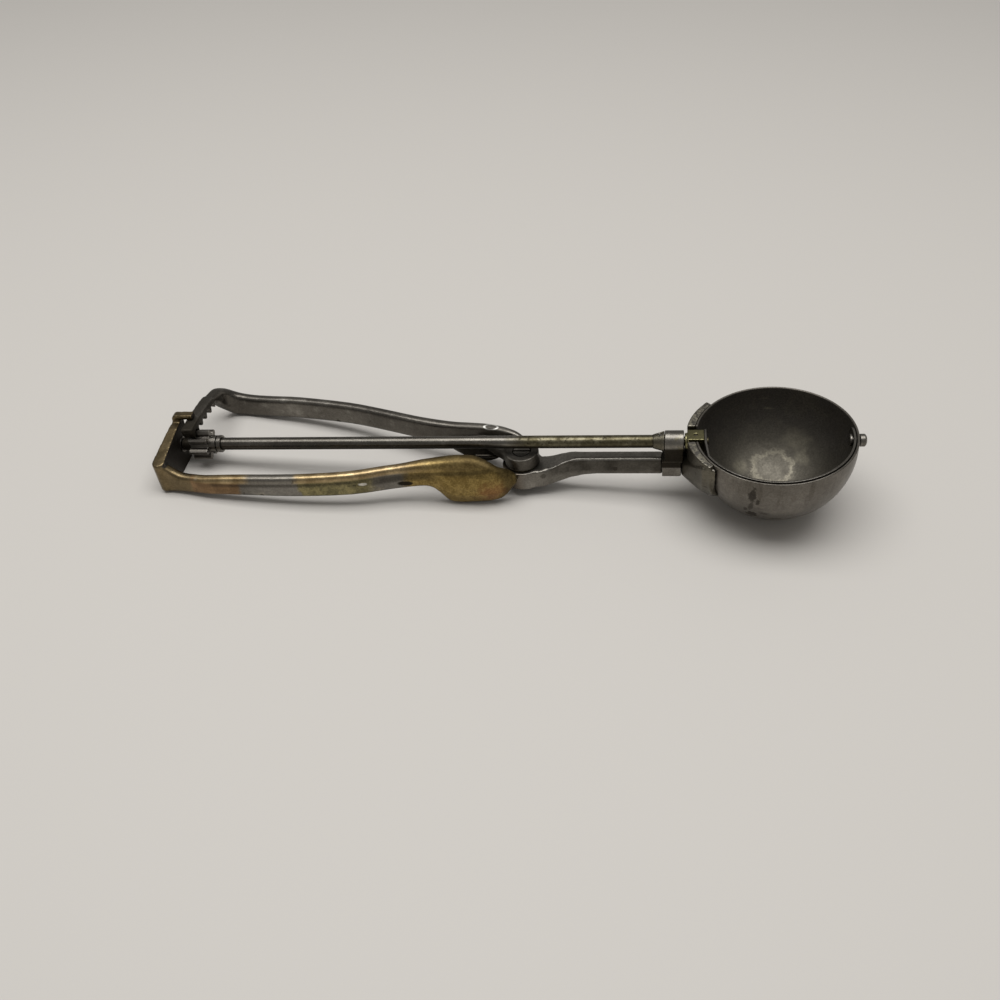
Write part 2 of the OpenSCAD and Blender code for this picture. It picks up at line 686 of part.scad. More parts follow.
module hub_pin() {
    color("#5d584f") placed() rotate([-band_rise, 0, 0])
        cross_pin(hub_back - hub_side / 2, cross_pin_r - seam, hub_side / 2 - 0.5);
}

// Half-round band inside the bowl, from the hub past the near side to the front pin
module scraper_band() {
    turn_in = 28;     // where the band leaves the ball to reach the hub
    lap = [-cos(turn_in + 2), -sin(turn_in + 2)];
    join = [-cos(turn_in), -sin(turn_in)];
    foot = hub_front - seam;
    color("#74706a") placed() rotate([-band_rise, 0, 0]) difference() {
        intersection() {
            union() {
                translate([0, 0, -band_w / 2]) rotate([0, 0, 180 + turn_in])
                    rotate_extrude(angle = 180 - turn_in + 14)
                        translate([band_in, 0]) square([band_t, band_w]);
                translate([0, 0, -band_w / 2]) linear_extrude(height = band_w)
                    polygon([lap * (band_in + 0.1), join * (band_in + 0.1),
                             [-foot + band_t, -4.4], [-foot + band_t, 3], [-foot, 3],
                             [-foot, -4.6], join * band_out, lap * (band_out - 0.1)]);
            }
            // Rounded ends over the hub and round the front pin
            rounded_reach();
        }
        along_rod(foot + 1, foot - band_t - 1, tail_r + seam);
        along_rod(-band_in + 2, -bowl_r, pin_r + run_gap);
    }
}

module rounded_reach() {
    r = band_w / 2;
    translate([-bowl_r, -bowl_r - 1, -r]) cube([2 * bowl_r, bowl_r + 1, 2 * r]);
    translate([-bowl_r, 0, -r]) cube([bowl_r, 3, 2 * r]);
    translate([0, 0, -r]) cube([bowl_r, tab_reach, 2 * r]);
    translate([0, tab_reach, 0]) rotate([0, 90, 0]) cylinder(h = bowl_r, r = r);
}
// Rivet through the front of the bowl, on which the band's far end turns
module front_pin() {
    color("#57534d") placed() rotate([0, 90, 0]) union() {
        translate([0, 0, band_in - 0.9]) cylinder(h = bowl_r - band_in + 1.5, r = pin_r - seam / 2);
        translate([0, 0, band_in - 1.1]) cylinder(h = 0.8, r = head_r);
        // Domed head
        translate([0, 0, bowl_r + 0.45]) intersection() {
            cylinder(h = head_r, r = head_r);
            translate([0, 0, -head_r / 4]) sphere(r = head_r * 1.4);
        }
    }
}

bowl();
saddle();
neck();
shank();
fixed_grip();
lever_grip();
pivot_screw();
pivot_nut();
pivot_washer();
return_spring();
drive_rod();
pinion();
pinion_pin();
rear_collar();
thrust_washer();
front_collar();
front_collar_pin();
scraper_hub();
hub_pin();
scraper_band();
front_pin();
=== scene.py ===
import json
import math

import bmesh
import bpy
import numpy
from mathutils import Matrix, Vector


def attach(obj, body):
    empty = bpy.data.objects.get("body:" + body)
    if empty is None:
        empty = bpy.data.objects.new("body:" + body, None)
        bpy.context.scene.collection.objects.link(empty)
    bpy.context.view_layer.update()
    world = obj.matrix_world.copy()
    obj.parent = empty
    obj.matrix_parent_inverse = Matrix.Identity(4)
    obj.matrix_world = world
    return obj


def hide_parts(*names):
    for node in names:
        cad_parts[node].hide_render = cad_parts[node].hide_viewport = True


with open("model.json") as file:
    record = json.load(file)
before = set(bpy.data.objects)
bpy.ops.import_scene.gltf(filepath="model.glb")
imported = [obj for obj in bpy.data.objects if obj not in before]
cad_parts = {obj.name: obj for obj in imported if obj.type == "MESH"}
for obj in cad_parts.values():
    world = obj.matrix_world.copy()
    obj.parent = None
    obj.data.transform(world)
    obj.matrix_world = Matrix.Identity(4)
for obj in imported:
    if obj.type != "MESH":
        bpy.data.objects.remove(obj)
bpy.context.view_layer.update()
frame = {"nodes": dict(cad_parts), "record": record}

# ---- Place of the construction frame of the source in the row frame ----------------------
# The rod runs along X there, the centre of the bowl is at zero; the scoop lies tipped back.

ROLL, PITCH, BOWL_R = math.radians(-1.81628), math.radians(-5.11754), 28.5
TIP = Matrix.Rotation(PITCH, 3, "Y") @ Matrix.Rotation(ROLL, 3, "X")
PER_M = 1000                        # millimetres in a metre


def at(x, y, z):
    """A point of the construction frame, in mm, as a point of the row frame, in m."""
    return (TIP @ Vector((x, y, z)) + Vector((0, 0, BOWL_R))) / PER_M


# ---- Camera -------------------------------------------------------------------------------
# Its lens and place were fitted to the rim of the bowl and the rod in the photo.

cam_data = bpy.data.cameras.new("camera")
cam_data.lens, cam_data.sensor_width = 37.8, 36.0
cam_data.clip_start, cam_data.clip_end = 0.01, 20.0
camera = bpy.data.objects.new("camera", cam_data)
camera.matrix_world = Matrix(((0.992816, -0.068104, 0.098377, -0.059545),
                              (0.118143, 0.688085, -0.715948, -0.29567),
                              (-0.018933, 0.722427, 0.691188, 0.275051),
                              (0, 0, 0, 1)))
bpy.context.scene.collection.objects.link(camera)
bpy.context.scene.camera = camera


# ---- Colours and stains -------------------------------------------------------------------

def srgb(r, g, b):
    """Linear colour of an 8-bit screen colour."""
    def one(v):
        v /= 255
        return v / 12.92 if v <= 0.04045 else ((v + 0.055) / 1.055) ** 2.4
    return (one(r), one(g), one(b), 1.0)


NICKEL = srgb(128, 124, 117)
NICKEL_DARK = srgb(104, 100, 93)
NICKEL_LIGHT = srgb(176, 172, 163)
GRIME_AND_SHADE = srgb(46, 41, 33)
BRASS_GREEN = srgb(118, 110, 76)
RUBBED_RING_HIGHLIGHT = srgb(226, 224, 218)

# Bare metals and tarnish, each from its dark to its light
BROWN = srgb(112, 90, 66), srgb(148, 120, 88)
DULL_PLATE = srgb(96, 84, 62), srgb(126, 110, 82)
GOLD = srgb(120, 100, 54), srgb(150, 128, 76)
BRONZE = srgb(138, 118, 86), srgb(190, 168, 128)
OLIVE = srgb(104, 98, 66), srgb(146, 136, 92)
ROD_BRASS = srgb(82, 76, 54), srgb(120, 114, 92)
OILY = srgb(84, 80, 68), srgb(104, 99, 86)

# Single stains by place and half lengths in the construction frame, in mm, and by strength
GRIP_STAINS = (
    ((-153, -22, -5.0), (3.6, 4, 1.0), 0.75),
    ((-134.5, -15.3, -7.2), (3.4, 4, 1.2), 0.95),
    ((-189, -24, -8.0), (1.2, 4, 0.9), 0.7),
    ((-196, -24, -7.0), (0.7, 4, 0.6), 0.9),
    ((-179, -24, -10), (3.0, 4, 0.7), 0.6),
)
BOWL_RUBS = (
    ((-0.5, 27.1, -5.7), (2.6, 3, 0.5), 0.35),
    ((-2.2, 27.6, -1.3), (1.6, 3, 0.5), 0.25),
    ((10.4, 20.2, -15.8), (7.0, 6, 4.5), 0.30),
    ((-11, 12.2, -22.2), (3.4, 4, 2.4), 0.35),
    ((12.5, 14.5, -20), (3.4, 4, 2.2), 0.35),
)
BOWL_STAINS = (
    ((-9.4, -26.8, -3), (1.4, 4, 3.6), 0.7),
    ((-9.6, -25.5, -9), (1.0, 4, 3.4), 0.55),
    ((-8.8, -23.6, -15), (2.3, 5, 2.6), 0.85),
    ((-7.4, -26.6, -5.5), (0.8, 4, 1.8), 0.6),
    ((-11.2, -24.2, -12), (0.8, 4, 1.6), 0.6),
    ((-5.4, -24.5, -12.5), (1.7, 4, 0.8), 0.45),
    ((-1, -23, -17), (3.4, 4, 1.0), 0.45),
)
SHANK_STAINS = (
    ((-57.5, -3, -11), (1.5, 3, 1.5), 0.8),
    ((-84, -6, -11.5), (1.6, 4, 1.2), 0.5),
)
LEVER_STAINS = (
    ((-170, 24, -8), (1.1, 3, 1.6), 0.8),
)

UP, DOWN, NEAR, FAR, FRONT = (0, 0, 1), (0, 0, -1), (0, -1, 0), (0, 1, 0), (1, 0, 0)


# ---- Materials ----------------------------------------------------------------------------

class Finish:
    """One material, with short calls for the nodes it is made of. Lengths are in metres."""

    def __init__(self, name, metallic=1.0):
        self.mat = bpy.data.materials.new(name)
        self.mat.use_nodes = True
        self.tree = self.mat.node_tree
        self.shader = self.tree.nodes["Principled BSDF"]
        self.shader.inputs["Metallic"].default_value = metallic
        self.place = self.tree.nodes.new("ShaderNodeTexCoord").outputs["Object"]
        moved = self.node("ShaderNodeMapping", Vector=self.place)
        moved.vector_type = "TEXTURE"
        moved.inputs["Location"].default_value = (0, 0, BOWL_R / PER_M)
        moved.inputs["Rotation"].default_value = TIP.to_euler()
        moved.inputs["Scale"].default_value = (1 / PER_M,) * 3
        self.mm = self.node("ShaderNodeSeparateXYZ", Vector=moved.outputs[0]).outputs

    def node(self, kind, **values):
        made = self.tree.nodes.new(kind)
        for key, value in values.items():
            self.put(made.inputs[key], value)
        return made

    def put(self, socket, value):
        """Links the socket to an output, or sets it to a constant."""
        if isinstance(value, bpy.types.NodeSocket):
            self.tree.links.new(value, socket)
        else:
            socket.default_value = value

    def math(self, how, *values, clamp=False):
        made = self.tree.nodes.new("ShaderNodeMath")
        made.operation, made.use_clamp = how, clamp
        for i, value in enumerate(values):
            self.put(made.inputs[i], value)
        return made.outputs[0]

    def times(self, first, *others):
        for other in others:
            first = self.math("MULTIPLY", first, other)
        return first

    def without(self, share):
        """1 where the share is 0, and 0 where it is 1."""
        return self.math("SUBTRACT", 1.0, share)

    def dot(self, vector, direction):
        made = self.tree.nodes.new("ShaderNodeVectorMath")
        made.operation = "DOT_PRODUCT"
        self.put(made.inputs[0], vector)
        self.put(made.inputs[1], direction)
        return made.outputs["Value"]

    def noise(self, size, detail=5.0, rough=0.55, stretch=None, warp=0.0, turn=(0, 0, 0)):
        """Noise whose spots are about this long in metres."""
        place = self.place
        if stretch:
            moved = self.node("ShaderNodeMapping", Vector=self.place)
            moved.inputs["Scale"].default_value = tuple(1 / s for s in stretch)
            moved.inputs["Rotation"].default_value = turn
            place = moved.outputs[0]
        spot_share = 0.6    # length of a spot in a noise of scale 1
        made = self.node("ShaderNodeTexNoise", Vector=place, Scale=spot_share / size,
                         Detail=detail, Roughness=rough, Distortion=warp)
        return made.outputs["Fac"]

    def step(self, value, low, high, a=0.0, b=1.0):
        """a below low, b above high, and a smooth step between."""
        made = self.tree.nodes.new("ShaderNodeMapRange")
        made.interpolation_type = "SMOOTHSTEP"
        for i, v in enumerate((value, low, high, a, b)):
            self.put(made.inputs[i], v)
        return made.outputs[0]

    def below(self, value, low, high):
        """1 below low, nothing above high."""
        return self.step(value, low, high, 1.0, 0.0)

    def between(self, value, rise, full, fade, gone):
        """Rises to 1 from the first value to the second, falls from the third to the fourth."""
        return self.times(self.step(value, rise, full), self.below(value, fade, gone))

    def mix(self, share, a, b, how="MIX"):
        made = self.tree.nodes.new("ShaderNodeMix")
        made.data_type, made.blend_type = "RGBA", how
        share_in, a_in, b_in, colour_out = 0, 6, 7, 2   # the node's sockets for colours
        self.put(made.inputs[share_in], share)
        self.put(made.inputs[a_in], a)
        self.put(made.inputs[b_in], b)
        return made.outputs[colour_out]

    def blotches(self, tones, size=0.004, detail=6, rough=0.55, low=0.35, high=0.7):
        """The dark and the light of these tones, in blotches of this size."""
        return self.mix(self.step(self.noise(size, detail, rough), low, high), *tones)

    def edges(self, radius, low=0.02, high=0.22):
        """1 on edges rubbed bright, within about this radius of them."""
        made = self.tree.nodes.new("ShaderNodeBevel")
        made.samples = 4
        made.inputs["Radius"].default_value = radius
        flat = self.tree.nodes.new("ShaderNodeNewGeometry").outputs["Normal"]
        return self.step(self.without(self.dot(made.outputs[0], flat)), low, high)

    def facing(self, way, low, high):
        """1 where the surface faces this way, by the step between two cosines."""
        flat = self.tree.nodes.new("ShaderNodeNewGeometry").outputs["Normal"]
        return self.step(self.dot(flat, Vector(way).normalized()), low, high)

    def spot(self, centre, size, turn=(0, 0, 0)):
        """Distance from a point, 1 on an ellipsoid of these half lengths, all in mm."""
        moved = self.node("ShaderNodeMapping", Vector=self.place)
        moved.vector_type = "TEXTURE"
        moved.inputs["Location"].default_value = at(*centre)
        moved.inputs["Rotation"].default_value = turn
        moved.inputs["Scale"].default_value = tuple(v / PER_M for v in size)
        far = self.tree.nodes.new("ShaderNodeVectorMath")
        far.operation = "LENGTH"
        self.put(far.inputs[0], moved.outputs[0])
        return far.outputs["Value"]

    def frayed(self, far, noise, ragged):
        """This distance, made larger and smaller by up to about this much."""
        return self.math("MULTIPLY_ADD", noise, ragged * 2, self.math("SUBTRACT", far, ragged))

    def mark(self, centre, size, low=0.6, high=1.1, ragged=0.35):
        """1 inside a ragged patch round a point, its half lengths in mm."""
        far = self.frayed(self.spot(centre, size), self.noise(0.0016, 5, 0.65), ragged)
        return self.below(far, low, high)

    def wavy(self, value, noise, reach):
        """This coordinate, shifted to and fro over this reach."""
        return self.math("ADD", value, self.math("MULTIPLY_ADD", noise, reach, -reach / 2))

    def grime_and_shade(self, share, *others):
        """Darkens to the grime colour where the product of these shares is high, on top of the
        scattered spots: grime, and painted shade where the shares follow shade.
        """
        self.spots = self.math("MAXIMUM", self.spots, self.times(share, *others))

    def duller(self, share, rise):
        """Roughness rises by this much where the share is 1."""
        self.dull = self.math("MULTIPLY_ADD", share, rise, self.dull)

    def bump(self, height, strength, depth, below=None):
        """Dents of this depth in metres, on top of those of the normal below."""
        made = self.node("ShaderNodeBump", Height=height, Strength=strength, Distance=depth)
        if below is not None:
            self.put(made.inputs["Normal"], below)
        return made.outputs[0]


def worn(name, base=NICKEL, dark=NICKEL_DARK, light=NICKEL_LIGHT, grime=0.5, brass=0.0,
         rough=0.3, pits=0.4, grain=0.0, paint=None, metallic=1.0):
    """Old plated metal: cloudy tarnish, grime spots, rubbed edges, pits and fine scratches."""
    f = Finish(name, metallic)
    # Clouds of tarnish, patches rubbed light, and the scattered spots of grime
    colour = f.mix(f.step(f.noise(0.016, 4), 0.36, 0.66), dark, base)
    rubbed = f.step(f.noise(0.0045, 6, 0.62), 0.52, 0.74, 0.0, 0.35)
    colour = f.mix(rubbed, colour, light)
    f.spots = f.step(f.noise(0.0022, 8, 0.68, warp=0.3), 0.60, 0.72, 0.0, grime)
    f.dull = f.math("MULTIPLY_ADD", f.noise(0.0035, 5), 0.18, rough - 0.10)
    if paint:
        colour = paint(f, colour)
    # The brass shows where the plating is worn through
    if brass:
        wider = brass * 0.25
        worn_through = f.step(f.noise(0.006, 6, 0.6, warp=0.4), 0.64 - wider, 0.80 - wider,
                              0.0, 0.7)
        colour = f.mix(worn_through, colour, BRASS_GREEN)
    # The grime colour also serves as painted shade, where the spots carry shade masks
    colour = f.mix(f.spots, colour, GRIME_AND_SHADE)
    # Fine specks over everything, and edges rubbed bright
    speck = f.step(f.noise(0.0004, 3, 0.5), 0.3, 0.7, 0.84, 1.1)
    grey = f.node("ShaderNodeCombineColor", Red=speck, Green=speck, Blue=speck).outputs[0]
    colour = f.mix(1.0, colour, grey, "MULTIPLY")
    bright = f.times(f.edges(0.0003), f.step(f.noise(0.003, 4), 0.3, 0.6, 0.2, 0.8))
    colour = f.mix(bright, colour, light)
    # Scratches along the scoop and across it, duller where there is grime
    scratch = f.noise(0.0006, 3, 0.6, stretch=(14, 1, 1))
    crossing = f.noise(0.0005, 2, 0.6, stretch=(1, 11, 2), turn=(0, 0, 0.5))
    f.duller(f.spots, 0.35)
    f.duller(scratch, 0.10)
    dull = f.math("MULTIPLY_ADD", bright, -0.10, f.dull, clamp=True)
    # Pits, both scratches and the soft unevenness of a worn surface
    holes = f.below(f.noise(0.0007, 2, 0.5), 0.60, 0.78)
    normal = f.bump(holes, pits * 0.5, 0.00012)
    normal = f.bump(scratch, 0.08 + grain, 0.00005, normal)
    normal = f.bump(crossing, 0.06, 0.00004, normal)
    normal = f.bump(f.noise(0.005, 3), 0.16, 0.0006, normal)
    f.put(f.shader.inputs["Base Color"], colour)
    f.put(f.shader.inputs["Roughness"], dull)
    f.put(f.shader.inputs["Normal"], normal)
    return f.mat


def grip_paint(f, colour):
    """Where the plating is gone along the fixed grip, from its back corner to the leaf, with
    painted shade and a painted highlight besides.
    """
    x, y, z = f.mm
    along = f.wavy(x, f.noise(0.004, 6, 0.65), 9)
    colour = f.mix(f.below(along, -199, -196), colour, f.blotches(BROWN))
    colour = f.mix(f.below(x, -217, -216), colour, f.blotches(DULL_PLATE))
    middle = f.times(f.between(along, -174, -172.6, -150, -144), 0.85)
    colour = f.mix(middle, colour, f.blotches(OLIVE, 0.0018, 7, 0.68, 0.40, 0.62))
    front = f.times(f.between(along, -137, -132, -92, -89.5), 0.95)
    colour = f.mix(front, colour, f.blotches(GOLD, 0.0016, 7, 0.68, 0.38, 0.64))
    # The rounded upper edge is bare bronze, but for the plated stretch behind the middle
    silver = f.between(along, -196, -192, -177, -173)
    bead = f.times(f.step(z, -3.0, -1.6), f.math("MULTIPLY_ADD", silver, -0.9, 0.95))
    bead = f.times(bead, f.step(x, -138, -122, 1.0, 0.15), f.step(x, -216, -214))
    colour = f.mix(bead, colour, f.blotches(BRONZE))
    # Painted shade: a dark line below that edge, the end plate's inner face (dark, and greasy
    # too), and faces turned down and to the far side; darker again towards the pivot
    line = f.times(f.between(z, -4.6, -3.4, -2.9, -2.2), f.facing(NEAR, 0.35, 0.7))
    f.grime_and_shade(line, f.step(x, -212, -206), 0.5)
    inner = f.times(f.facing(FRONT, 0.6, 0.8), f.below(x, -214, -212))
    colour = f.mix(inner, colour, srgb(84, 80, 76))
    f.grime_and_shade(inner, f.step(y, -16, -3, 0.1, 0.75))
    f.grime_and_shade(f.facing(DOWN, 0.5, 0.9), 0.7)
    f.grime_and_shade(f.facing(FAR, 0.5, 0.9), 0.35)
    f.grime_and_shade(f.step(along, -99, -93), 0.45)
    # Painted shade on the far half of the leaf's crest and in the hollow below its root
    f.grime_and_shade(f.step(y, -13.4, -11.8), f.step(x, -136, -122), 0.55)
    f.grime_and_shade(f.between(z, -7.0, -5.0, -3.6, -2.6), f.between(x, -152, -142, -128, -118), 0.6)
    for place, size, share in GRIP_STAINS:
        f.grime_and_shade(f.mark(place, size, ragged=0.55), share)
    # A red patch low on the leaf, a painted highlight on the back corner's top edge, and a
    # light fleck in the middle
    red = f.times(f.mark((-102, -15, -13), (7, 6, 5.5), 0.3, 1.2, 0.8), 0.55)
    colour = f.mix(red, colour, srgb(132, 88, 60))
    # The pale patch on the back corner is a painted highlight
    rubbed = f.times(f.mark((-216.5, -22.5, -0.5), (4.2, 4, 1.5), ragged=0.5), 0.8)
    colour = f.mix(rubbed, colour, srgb(214, 204, 184))
    fleck = f.mark((-149.8, -18.7, -4.8), (1.7, 3, 0.8), ragged=0.75)
    return f.mix(fleck, colour, srgb(206, 202, 192))


def lever_paint(f, colour):
    """The rubbed ring the rod's side has left on the lever, its pale rim a painted highlight,
    and painted shade below the rod.
    """
    x, y, z = f.mm
    # The ring is cut from a thin ellipsoid that lies tilted on the lever's crest; its pale rim
    # is painted as a highlight
    far = f.spot((-104.8, 10.0, -0.5), (2.7, 2.4, 1.15), (-0.757, 0, 0.04))
    colour = f.mix(f.between(far, 0.72, 0.9, 1.0, 1.2), colour, RUBBED_RING_HIGHLIGHT)
    within = f.below(far, 0.7, 0.8)
    colour = f.mix(within, colour, srgb(98, 94, 88))
    f.duller(within, 0.1)
    f.duller(f.between(x, -122, -112, -100, -96), 0.2)
    # Painted shade on the lower leaf below the rod and on faces turned down
    f.grime_and_shade(f.below(z, -6.5, -3.5), f.between(x, -126, -116, -101, -97), 0.85)
    f.grime_and_shade(f.facing(DOWN, 0.5, 0.9), 0.7)
    # Darker at the eye's rim; grease and painted shade at the end of the rack and on the rack's
    # inner face
    f.grime_and_shade(f.step(x, -101, -98), f.below(z, -3.2, -2.6), 0.35)
    f.grime_and_shade(f.step(x, -221, -215, 0.6, 0.0))
    f.grime_and_shade(f.below(x, -212, -208), f.step(y, 2, 13, 0.8, 0.0))
    for place, size, share in LEVER_STAINS:
        f.grime_and_shade(f.mark(place, size), share)
    return colour


def rod_paint(f, colour):
    """Dark steel at the back; towards the bowl bare, greenish brass with dark bands; painted
    shade underneath and inside the end plate.
    """
    x = f.mm["X"]
    colour = f.mix(f.step(x, -150, -118, 0.55, 0.0), colour, srgb(70, 67, 61))
    bare = f.step(f.wavy(x, f.noise(0.004, 5, 0.6), 16), -99, -90, 0.0, 0.9)
    colour = f.mix(bare, colour, f.blotches(ROD_BRASS, 0.0026, 7, 0.68, 0.42, 0.62))
    f.duller(bare, 0.10)
    f.grime_and_shade(f.step(f.noise(0.0012, 5, 0.7), 0.54, 0.66), bare, 0.85)
    # Painted shade on the rod's lower near side, and grease with painted shade where it runs
    # into the end plate
    f.grime_and_shade(f.facing((0, -0.45, -0.9), 0.15, 0.75))
    f.grime_and_shade(f.step(x, -213, -209, 0.85, 0.0))
    return colour


def bowl_paint(f, colour):
    """Dull and dark inside with cloudy rubbed patches and a painted reflection; streaks and a
    stain outside.
    """
    inside = f.below(f.spot((0, 0, 0), (1, 1, 1)), 28.0, 28.2)
    cloudy = f.step(f.noise(0.006, 7, 0.62, warp=0.8), 0.42, 0.64)
    low = f.math("MULTIPLY_ADD", f.below(f.mm["Z"], -18, -8), 0.7, 0.15)
    inner = f.mix(low, srgb(88, 84, 79), srgb(90, 86, 77))
    inner = f.mix(f.times(cloudy, 0.35), inner, srgb(116, 111, 100))
    colour = f.mix(inside, colour, inner)
    # The pale ring in the bottom is a painted reflection of the lamp
    far = f.spot((1.2, 13, -23.5), (7.8, 6.8, 7), (0, 0, 0.2))
    far = f.frayed(far, f.noise(0.003, 7, 0.7), 0.75)
    ring = f.times(f.between(far, 0.70, 0.98, 1.0, 1.16), inside)
    colour = f.mix(f.times(ring, 0.5), colour, srgb(146, 140, 124))
    f.duller(inside, 0.17)
    f.duller(f.times(cloudy, inside), -0.06)
    f.duller(ring, -0.04)
    for place, size, share in BOWL_RUBS:
        pale = f.times(f.mark(place, size, 0.4, 1.2, 0.9), inside, share)
        colour = f.mix(pale, colour, srgb(150, 144, 126))
    outside = f.without(inside)
    colour = f.mix(f.times(outside, 0.55), colour, srgb(100, 94, 86))
    streak = f.step(f.noise(0.0016, 7, 0.66, stretch=(1, 1, 8)), 0.48, 0.70, 0.0, 0.55)
    colour = f.mix(f.times(streak, outside), colour, srgb(78, 72, 64))
    patch = f.step(f.noise(0.008, 5, 0.6, warp=0.5), 0.52, 0.68, 0.0, 0.45)
    colour = f.mix(f.times(patch, outside), colour, srgb(134, 128, 118))
    for place, size, share in BOWL_STAINS:
        f.grime_and_shade(f.mark(place, size, ragged=1.1), share)
    return colour


def neck_paint(f, colour):
    """Dark grease and painted shade on the set-back middle of the block."""
    f.grime_and_shade(f.between(f.mm["Z"], -9.2, -8.6, -1.2, 0.2), 0.95)
    return colour


def saddle_paint(f, colour):
    """The ledge round the bowl is rubbed and pitted, lighter only where it faces up as painted
    light; the flank below it oily and darker as painted shade.
    """
    ledge = f.facing(UP, 0.75, 0.95)
    pitted = f.step(f.noise(0.0011, 6, 0.7), 0.46, 0.58)
    colour = f.mix(f.times(ledge, pitted), colour, srgb(176, 170, 152))
    return f.mix(f.times(f.without(ledge), 0.8), colour, f.blotches(OILY, 0.005, 5))


def shank_paint(f, colour):
    """Painted shade below, dirty on its near face, brownish at the hub."""
    x, _, z = f.mm
    # Painted shade on faces turned down
    f.grime_and_shade(f.facing(DOWN, 0.5, 0.9), 0.7)
    for place, size, share in SHANK_STAINS:
        f.grime_and_shade(f.mark(place, size, ragged=0.6), share)
    near = f.times(f.facing(NEAR, 0.75, 0.95), f.step(x, -86, -80))
    near = f.times(near, f.step(z, -13.5, -11.0, 0.5, 1.0))
    f.grime_and_shade(near, f.step(f.noise(0.004, 6, 0.6), 0.3, 0.7, 0.48, 0.78))
    return f.mix(f.times(f.below(x, -95, -90), 0.6), colour, srgb(96, 82, 66))


MATERIALS = {
    "bowl": worn("worn_plate_bowl", paint=bowl_paint, grime=0.35, rough=0.34, pits=0.3,
                 metallic=0.88),
    "neck": worn("worn_plate_neck", paint=neck_paint, grime=0.6, brass=0.25, pits=0.9),
    "saddle": worn("oily_casting", paint=saddle_paint, grime=0.6, rough=0.34, pits=1.0),
    "shank": worn("worn_plate_shank", paint=shank_paint, pits=0.5),
    "fixed": worn("patchy_bronze_grip", light=srgb(206, 194, 166), paint=grip_paint,
                  grime=0.55, pits=0.5),
    "lever": worn("worn_plate_lever", srgb(113, 109, 102), srgb(90, 86, 80),
                  paint=lever_paint, grime=0.4),
    "cone": worn("worn_plate_cone", srgb(102, 97, 84), srgb(76, 72, 60), grime=0.8,
                 brass=0.4, rough=0.34, pits=0.9),
    # The spring is painted black as the shade it sits in
    "black": worn("black_painted_shade", srgb(62, 58, 52), srgb(48, 44, 38), srgb(92, 88, 82),
                  grime=0.8, rough=0.4, pits=0.5),
    "rod": worn("worn_rod", paint=rod_paint, grime=0.35, rough=0.24, pits=0.2, grain=0.04),
    "band": worn("worn_band", grime=0.4, pits=0.2),
    "greasy": worn("greasy_steel", srgb(126, 122, 115), srgb(96, 92, 86), grime=0.6),
    "steel": worn("dark_steel", srgb(118, 114, 107), pits=0.3),
    "brass": worn("green_brass", srgb(140, 134, 98), srgb(106, 102, 74),
                  srgb(172, 166, 132), grime=0.6, pits=0.9),
}
MATERIAL_OF = {
    "bowl": "bowl", "saddle": "saddle", "neck": "neck", "shank": "shank",
    "fixed_grip": "fixed", "lever_grip": "lever", "drive_rod": "rod", "scraper_band": "band",
    "front_collar": "cone", "return_spring": "black", "scraper_hub": "brass",
    "pivot_washer": "brass", "thrust_washer": "greasy", "pinion": "greasy",
    "rear_collar": "greasy", "front_pin": "greasy",
}


def material_of(node):
    """Screw, nut and cross pins are plain dark steel."""
    return MATERIALS[MATERIAL_OF.get(node, "steel")]


# ---- Pieces -------------------------------------------------------------------------------

BODY_OF = {node: body for body, nodes in frame["record"]["behaviour"]["bodies"].items()
           for node in nodes}
WELD = 1e-7                         # points this close are one, in m
FLAT = math.radians(0.05)           # faces that differ by less are one
SHARP = math.radians(32)            # edges above this are broken by a bevel


def copy_of(node, name):
    """The node's mesh as a piece of its own, its seams closed and flat faces joined."""
    made = bmesh.new()
    made.from_mesh(frame["nodes"][node].data)
    bmesh.ops.remove_doubles(made, verts=made.verts, dist=WELD)
    bmesh.ops.dissolve_limit(made, angle_limit=FLAT, verts=made.verts, edges=made.edges)
    made.verts.index_update()
    mesh = bpy.data.meshes.new(name)
    mesh.from_pydata([v.co for v in made.verts], [],
                     [[v.index for v in face.verts] for face in made.faces])
    made.free()
    piece = bpy.data.objects.new(name, mesh)
    bpy.context.scene.collection.objects.link(piece)
    return piece


def dress(piece, node):
    """Gives the piece its material and puts it on its body in place of the node."""
    piece.data.materials.append(material_of(node))
    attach(piece, BODY_OF[node])
    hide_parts(node)


def turned(node, width, clamp=False):
    """A machined piece: its sharp edges are broken by a small bevel."""
    piece = copy_of(node, node + "_turned")
    edge = piece.modifiers.new("broken edges", "BEVEL")
    edge.width, edge.segments, edge.limit_method = width, 2, "ANGLE"
    edge.angle_limit, edge.use_clamp_overlap = SHARP, clamp
    piece.data.shade_smooth()
    piece.data.set_sharp_from_angle(angle=SHARP)
    dress(piece, node)


def cast(node, voxel, rounds, before=None, after=None):
    """A cast piece: all its edges and corners are softened as a casting's are."""
    piece = copy_of(node, node + "_casting")
    if before:
        before(piece)
    remesh = piece.modifiers.new("skin", "REMESH")
    remesh.mode, remesh.voxel_size, remesh.use_smooth_shade = "VOXEL", voxel, True
    soften = piece.modifiers.new("soften", "SMOOTH")
    soften.factor, soften.iterations = 0.5, rounds
    if after:
        done = piece.evaluated_get(bpy.context.evaluated_depsgraph_get())
        mesh = bpy.data.meshes.new_from_object(done)
        piece.modifiers.clear()
        piece.data = mesh
        after(mesh)
    dress(piece, node)


def places(mesh):
    """The mesh's points in the construction frame, in mm, a row for each."""
    flat = numpy.empty(len(mesh.vertices) * 3)
    mesh.vertices.foreach_get("co", flat)
    return (flat.reshape(-1, 3) * PER_M - (0, 0, BOWL_R)) @ numpy.array(TIP)


def smooth(value, low, high):
    """0 below low, 1 above high, and a smooth step between."""
    share = numpy.clip((value - low) / (high - low), 0, 1)
    return share * share * (3 - 2 * share)


